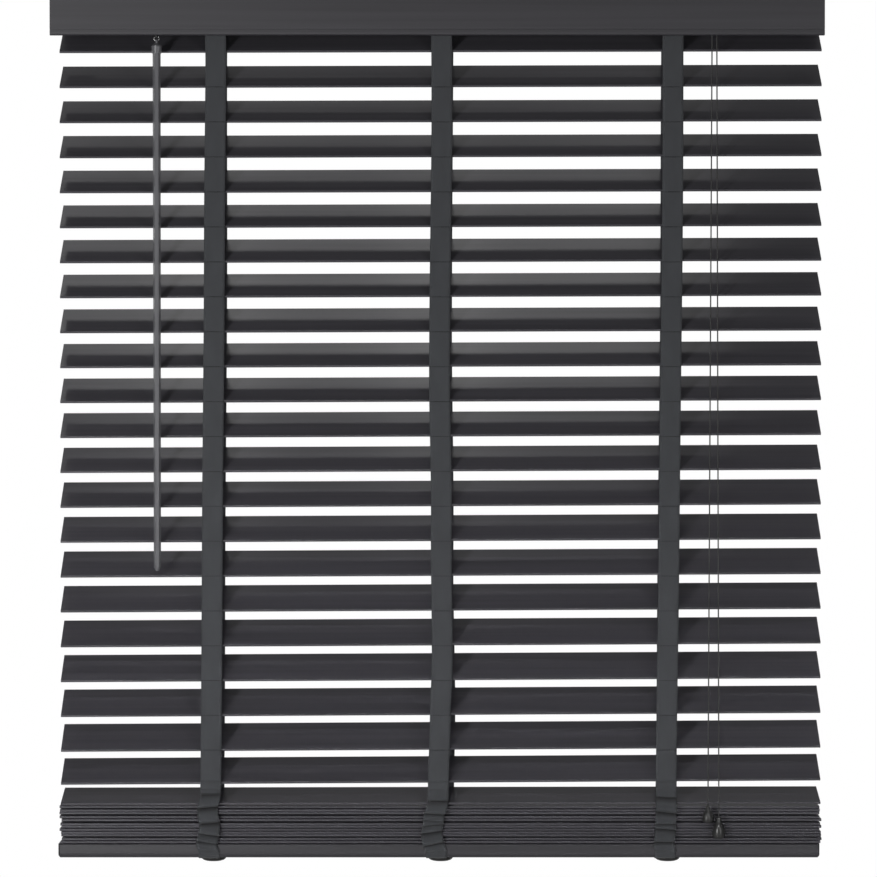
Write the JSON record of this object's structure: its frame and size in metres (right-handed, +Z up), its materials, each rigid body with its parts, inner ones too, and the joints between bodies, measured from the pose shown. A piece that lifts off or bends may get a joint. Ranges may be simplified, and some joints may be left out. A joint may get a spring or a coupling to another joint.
{
  "type": "wooden venetian blind",
  "caption": "Dark wooden venetian blind with ladder tapes, valance, tilt wand and pull cords, its lower slats gathered on the bottom rail.",
  "frame": {"origin": "middle of the ceiling screw holes on top of the two brackets", "axes": "+Z up, +X right along the slats as seen from the room, -Y towards the room"},
  "size_m": [0.9268, 0.078, 1.0745],
  "materials": {
    "slat": "satin dark grey paint over fine grain",
    "valance": "satin dark grey paint over fine grain",
    "rail": "satin dark grey paint over fine grain",
    "tape": "woven cotton tape",
    "cord": "braided cord",
    "headrail": "satin powder coat",
    "fittings": "matte moulded",
    "rod": "drawn",
    "hook": "bright wire",
    "wand": "satin dark grey",
    "tassels": "satin moulded",
    "plugs": "matte moulded"
  },
  "bodies": {
    "headrail": {"headrail": "headrail", "valance": "valance", "valance_clips": "fittings", "brackets": "headrail", "cradles": "fittings", "tilter_housing": "fittings", "cord_lock": "fittings", "lift_cords": "cord"},
    "slat_01": {"slat_01": "slat"},
    "front_tapes": {"front_tapes": "tape"},
    "back_tapes": {"back_tapes": "tape"},
    "tilt_rod": {"tilt_rod": "rod"},
    "tilter_worm": {"tilter_worm": "fittings"},
    "wand_hook": {"wand_hook": "hook"},
    "wand": {"wand": "wand"},
    "bottom_rail": {"bottom_rail": "rail", "rail_plugs": "plugs", "stacked_slats": "slat"},
    "tassels": {"tassels": "tassels"},
    "ladder_02": {"rungs_02": "tape"},
    "slat_02": {"slat_02": "slat"},
    "ladder_03": {"rungs_03": "tape"},
    "slat_03": {"slat_03": "slat"},
    "ladder_04": {"rungs_04": "tape"},
    "slat_04": {"slat_04": "slat"},
    "ladder_05": {"rungs_05": "tape"},
    "slat_05": {"slat_05": "slat"},
    "ladder_06": {"rungs_06": "tape"},
    "slat_06": {"slat_06": "slat"},
    "ladder_07": {"rungs_07": "tape"},
    "slat_07": {"slat_07": "slat"},
    "ladder_08": {"rungs_08": "tape"},
    "slat_08": {"slat_08": "slat"},
    "ladder_09": {"rungs_09": "tape"},
    "slat_09": {"slat_09": "slat"},
    "ladder_10": {"rungs_10": "tape"},
    "slat_10": {"slat_10": "slat"},
    "ladder_11": {"rungs_11": "tape"},
    "slat_11": {"slat_11": "slat"},
    "ladder_12": {"rungs_12": "tape"},
    "slat_12": {"slat_12": "slat"},
    "ladder_13": {"rungs_13": "tape"},
    "slat_13": {"slat_13": "slat"},
    "ladder_14": {"rungs_14": "tape"},
    "slat_14": {"slat_14": "slat"},
    "ladder_15": {"rungs_15": "tape"},
    "slat_15": {"slat_15": "slat"},
    "ladder_16": {"rungs_16": "tape"},
    "slat_16": {"slat_16": "slat"},
    "ladder_17": {"rungs_17": "tape"},
    "slat_17": {"slat_17": "slat"},
    "ladder_18": {"rungs_18": "tape"},
    "slat_18": {"slat_18": "slat"},
    "ladder_19": {"rungs_19": "tape"},
    "slat_19": {"slat_19": "slat"},
    "ladder_20": {"rungs_20": "tape"},
    "slat_20": {"slat_20": "slat"},
    "ladder_21": {"rungs_21": "tape"},
    "slat_21": {"slat_21": "slat"},
    "slat_22": {"slat_22": "slat"}
  },
  "joints": [
    {"name": "tilt", "type": "hinge", "parent": "headrail", "child": "slat_01", "pos_m": [0, 0, -0.083], "axis": [1, 0, 0], "range_deg": [-108, 36], "deforming": ["rungs_02", "rungs_03", "rungs_04", "rungs_05", "rungs_06", "rungs_07", "rungs_08", "rungs_09", "rungs_10", "rungs_11", "rungs_12", "rungs_13", "rungs_14", "rungs_15", "rungs_16", "rungs_17", "rungs_18", "rungs_19", "rungs_20", "rungs_21"]},
    {"name": "raise", "type": "slide", "parent": "headrail", "child": "bottom_rail", "axis": [0, 0, 1], "range_m": [0, 0.6], "deforming": ["front_tapes", "back_tapes", "lift_cords"]},
    {"name": "wand_swing", "type": "hinge", "parent": "wand_hook", "child": "wand", "pos_m": [-0.34, -0.03528, -0.086], "axis": [1, 0, 0], "range_deg": [-60, 0]},
    {"name": "front_tapes_shift", "type": "hinge", "parent": "slat_01", "child": "front_tapes", "pos_m": [0, -0.02073, -0.09698], "axis": [1, 0, 0], "range_deg": [-36, 108]},
    {"name": "back_tapes_shift", "type": "hinge", "parent": "slat_01", "child": "back_tapes", "pos_m": [0, 0.02073, -0.06902], "axis": [1, 0, 0], "range_deg": [-36, 108]},
    {"name": "rod_turn", "type": "hinge", "parent": "headrail", "child": "tilt_rod", "pos_m": [0, 0, -0.024], "axis": [1, 0, 0], "range_deg": [-180.01, 60.01]},
    {"name": "worm_turn", "type": "hinge", "parent": "headrail", "child": "tilter_worm", "pos_m": [-0.34, -0.01316, -0.01921], "axis": [0, 0.342, 0.9397], "range_deg": [-2160.01, 720.01]},
    {"name": "wand_turn", "type": "hinge", "parent": "headrail", "child": "wand_hook", "pos_m": [-0.34, -0.03528, -0.086], "axis": [0, 0, 1], "range_deg": [-2160.01, 720.01]},
    {"name": "pull", "type": "slide", "parent": "headrail", "child": "tassels", "axis": [0, 0, 1], "range_m": [-0.6, 0]},
    {"name": "gather_02", "type": "slide", "parent": "headrail", "child": "ladder_02", "axis": [0, 0, 1], "range_m": [0, 0.02877]},
    {"name": "tilt_02", "type": "hinge", "parent": "ladder_02", "child": "slat_02", "pos_m": [0, 0, -0.125], "axis": [1, 0, 0], "range_deg": [-108, 36]},
    {"name": "gather_03", "type": "slide", "parent": "headrail", "child": "ladder_03", "axis": [0, 0, 1], "range_m": [0, 0.05754]},
    {"name": "tilt_03", "type": "hinge", "parent": "ladder_03", "child": "slat_03", "pos_m": [0, 0, -0.167], "axis": [1, 0, 0], "range_deg": [-108, 36]},
    {"name": "gather_04", "type": "slide", "parent": "headrail", "child": "ladder_04", "axis": [0, 0, 1], "range_m": [0, 0.0863]},
    {"name": "tilt_04", "type": "hinge", "parent": "ladder_04", "child": "slat_04", "pos_m": [0, 0, -0.209], "axis": [1, 0, 0], "range_deg": [-108, 36]},
    {"name": "gather_05", "type": "slide", "parent": "headrail", "child": "ladder_05", "axis": [0, 0, 1], "range_m": [0, 0.11507]},
    {"name": "tilt_05", "type": "hinge", "parent": "ladder_05", "child": "slat_05", "pos_m": [0, 0, -0.251], "axis": [1, 0, 0], "range_deg": [-108, 36]},
    {"name": "gather_06", "type": "slide", "parent": "headrail", "child": "ladder_06", "axis": [0, 0, 1], "range_m": [0, 0.14383]},
    {"name": "tilt_06", "type": "hinge", "parent": "ladder_06", "child": "slat_06", "pos_m": [0, 0, -0.293], "axis": [1, 0, 0], "range_deg": [-108, 36]},
    {"name": "gather_07", "type": "slide", "parent": "headrail", "child": "ladder_07", "axis": [0, 0, 1], "range_m": [0, 0.17259]},
    {"name": "tilt_07", "type": "hinge", "parent": "ladder_07", "child": "slat_07", "pos_m": [0, 0, -0.335], "axis": [1, 0, 0], "range_deg": [-108, 36]},
    {"name": "gather_08", "type": "slide", "parent": "headrail", "child": "ladder_08", "axis": [0, 0, 1], "range_m": [0, 0.20136]},
    {"name": "tilt_08", "type": "hinge", "parent": "ladder_08", "child": "slat_08", "pos_m": [0, 0, -0.377], "axis": [1, 0, 0], "range_deg": [-108, 36]},
    {"name": "gather_09", "type": "slide", "parent": "headrail", "child": "ladder_09", "axis": [0, 0, 1], "range_m": [0, 0.23012]},
    {"name": "tilt_09", "type": "hinge", "parent": "ladder_09", "child": "slat_09", "pos_m": [0, 0, -0.419], "axis": [1, 0, 0], "range_deg": [-108, 36]},
    {"name": "gather_10", "type": "slide", "parent": "headrail", "child": "ladder_10", "axis": [0, 0, 1], "range_m": [0, 0.25889]},
    {"name": "tilt_10", "type": "hinge", "parent": "ladder_10", "child": "slat_10", "pos_m": [0, 0, -0.461], "axis": [1, 0, 0], "range_deg": [-108, 36]},
    {"name": "gather_11", "type": "slide", "parent": "headrail", "child": "ladder_11", "axis": [0, 0, 1], "range_m": [0, 0.28765]},
    {"name": "tilt_11", "type": "hinge", "parent": "ladder_11", "child": "slat_11", "pos_m": [0, 0, -0.503], "axis": [1, 0, 0], "range_deg": [-108, 36]},
    {"name": "gather_12", "type": "slide", "parent": "headrail", "child": "ladder_12", "axis": [0, 0, 1], "range_m": [0, 0.31641]},
    {"name": "tilt_12", "type": "hinge", "parent": "ladder_12", "child": "slat_12", "pos_m": [0, 0, -0.545], "axis": [1, 0, 0], "range_deg": [-108, 36]},
    {"name": "gather_13", "type": "slide", "parent": "headrail", "child": "ladder_13", "axis": [0, 0, 1], "range_m": [0, 0.34518]},
    {"name": "tilt_13", "type": "hinge", "parent": "ladder_13", "child": "slat_13", "pos_m": [0, 0, -0.587], "axis": [1, 0, 0], "range_deg": [-108, 36]},
    {"name": "gather_14", "type": "slide", "parent": "headrail", "child": "ladder_14", "axis": [0, 0, 1], "range_m": [0, 0.37394]},
    {"name": "tilt_14", "type": "hinge", "parent": "ladder_14", "child": "slat_14", "pos_m": [0, 0, -0.629], "axis": [1, 0, 0], "range_deg": [-108, 36]},
    {"name": "gather_15", "type": "slide", "parent": "headrail", "child": "ladder_15", "axis": [0, 0, 1], "range_m": [0, 0.40271]},
    {"name": "tilt_15", "type": "hinge", "parent": "ladder_15", "child": "slat_15", "pos_m": [0, 0, -0.671], "axis": [1, 0, 0], "range_deg": [-108, 36]},
    {"name": "gather_16", "type": "slide", "parent": "headrail", "child": "ladder_16", "axis": [0, 0, 1], "range_m": [0, 0.43147]},
    {"name": "tilt_16", "type": "hinge", "parent": "ladder_16", "child": "slat_16", "pos_m": [0, 0, -0.713], "axis": [1, 0, 0], "range_deg": [-108, 36]},
    {"name": "gather_17", "type": "slide", "parent": "headrail", "child": "ladder_17", "axis": [0, 0, 1], "range_m": [0, 0.46023]},
    {"name": "tilt_17", "type": "hinge", "parent": "ladder_17", "child": "slat_17", "pos_m": [0, 0, -0.755], "axis": [1, 0, 0], "range_deg": [-108, 36]},
    {"name": "gather_18", "type": "slide", "parent": "headrail", "child": "ladder_18", "axis": [0, 0, 1], "range_m": [0, 0.489]},
    {"name": "tilt_18", "type": "hinge", "parent": "ladder_18", "child": "slat_18", "pos_m": [0, 0, -0.797], "axis": [1, 0, 0], "range_deg": [-108, 36]},
    {"name": "gather_19", "type": "slide", "parent": "headrail", "child": "ladder_19", "axis": [0, 0, 1], "range_m": [0, 0.51776]},
    {"name": "tilt_19", "type": "hinge", "parent": "ladder_19", "child": "slat_19", "pos_m": [0, 0, -0.839], "axis": [1, 0, 0], "range_deg": [-108, 36]},
    {"name": "gather_20", "type": "slide", "parent": "headrail", "child": "ladder_20", "axis": [0, 0, 1], "range_m": [0, 0.54653]},
    {"name": "tilt_20", "type": "hinge", "parent": "ladder_20", "child": "slat_20", "pos_m": [0, 0, -0.881], "axis": [1, 0, 0], "range_deg": [-108, 36]},
    {"name": "gather_21", "type": "slide", "parent": "headrail", "child": "ladder_21", "axis": [0, 0, 1], "range_m": [0, 0.57529]},
    {"name": "tilt_21", "type": "hinge", "parent": "ladder_21", "child": "slat_21", "pos_m": [0, 0, -0.923], "axis": [1, 0, 0], "range_deg": [-108, 36]},
    {"name": "tilt_22", "type": "hinge", "parent": "bottom_rail", "child": "slat_22", "pos_m": [0, 0, -0.9637], "axis": [1, 0, 0], "range_deg": [-108, 36]}
  ],
  "couplings": [
    {"joint": "front_tapes_shift", "follows": "tilt", "ratio": -1},
    {"joint": "back_tapes_shift", "follows": "tilt", "ratio": -1},
    {"joint": "rod_turn", "follows": "tilt", "ratio": 1.6667},
    {"joint": "worm_turn", "follows": "tilt", "ratio": 20},
    {"joint": "wand_turn", "follows": "tilt", "ratio": 20},
    {"joint": "pull", "follows": "raise", "ratio": -1},
    {"joint": "gather_02", "follows": "raise", "ratio": 0.04794},
    {"joint": "tilt_02", "follows": "tilt", "ratio": 1},
    {"joint": "gather_03", "follows": "raise", "ratio": 0.09588},
    {"joint": "tilt_03", "follows": "tilt", "ratio": 1},
    {"joint": "gather_04", "follows": "raise", "ratio": 0.14382},
    {"joint": "tilt_04", "follows": "tilt", "ratio": 1},
    {"joint": "gather_05", "follows": "raise", "ratio": 0.19176},
    {"joint": "tilt_05", "follows": "tilt", "ratio": 1},
    {"joint": "gather_06", "follows": "raise", "ratio": 0.2397},
    {"joint": "tilt_06", "follows": "tilt", "ratio": 1},
    {"joint": "gather_07", "follows": "raise", "ratio": 0.28764},
    {"joint": "tilt_07", "follows": "tilt", "ratio": 1},
    {"joint": "gather_08", "follows": "raise", "ratio": 0.33558},
    {"joint": "tilt_08", "follows": "tilt", "ratio": 1},
    {"joint": "gather_09", "follows": "raise", "ratio": 0.38352},
    {"joint": "tilt_09", "follows": "tilt", "ratio": 1},
    {"joint": "gather_10", "follows": "raise", "ratio": 0.43146},
    {"joint": "tilt_10", "follows": "tilt", "ratio": 1},
    {"joint": "gather_11", "follows": "raise", "ratio": 0.4794},
    {"joint": "tilt_11", "follows": "tilt", "ratio": 1},
    {"joint": "gather_12", "follows": "raise", "ratio": 0.52734},
    {"joint": "tilt_12", "follows": "tilt", "ratio": 1},
    {"joint": "gather_13", "follows": "raise", "ratio": 0.57528},
    {"joint": "tilt_13", "follows": "tilt", "ratio": 1},
    {"joint": "gather_14", "follows": "raise", "ratio": 0.62322},
    {"joint": "tilt_14", "follows": "tilt", "ratio": 1},
    {"joint": "gather_15", "follows": "raise", "ratio": 0.67116},
    {"joint": "tilt_15", "follows": "tilt", "ratio": 1},
    {"joint": "gather_16", "follows": "raise", "ratio": 0.7191},
    {"joint": "tilt_16", "follows": "tilt", "ratio": 1},
    {"joint": "gather_17", "follows": "raise", "ratio": 0.76704},
    {"joint": "tilt_17", "follows": "tilt", "ratio": 1},
    {"joint": "gather_18", "follows": "raise", "ratio": 0.81498},
    {"joint": "tilt_18", "follows": "tilt", "ratio": 1},
    {"joint": "gather_19", "follows": "raise", "ratio": 0.86292},
    {"joint": "tilt_19", "follows": "tilt", "ratio": 1},
    {"joint": "gather_20", "follows": "raise", "ratio": 0.91086},
    {"joint": "tilt_20", "follows": "tilt", "ratio": 1},
    {"joint": "gather_21", "follows": "raise", "ratio": 0.9588},
    {"joint": "tilt_21", "follows": "tilt", "ratio": 1},
    {"joint": "tilt_22", "follows": "tilt", "ratio": 1}
  ]
}
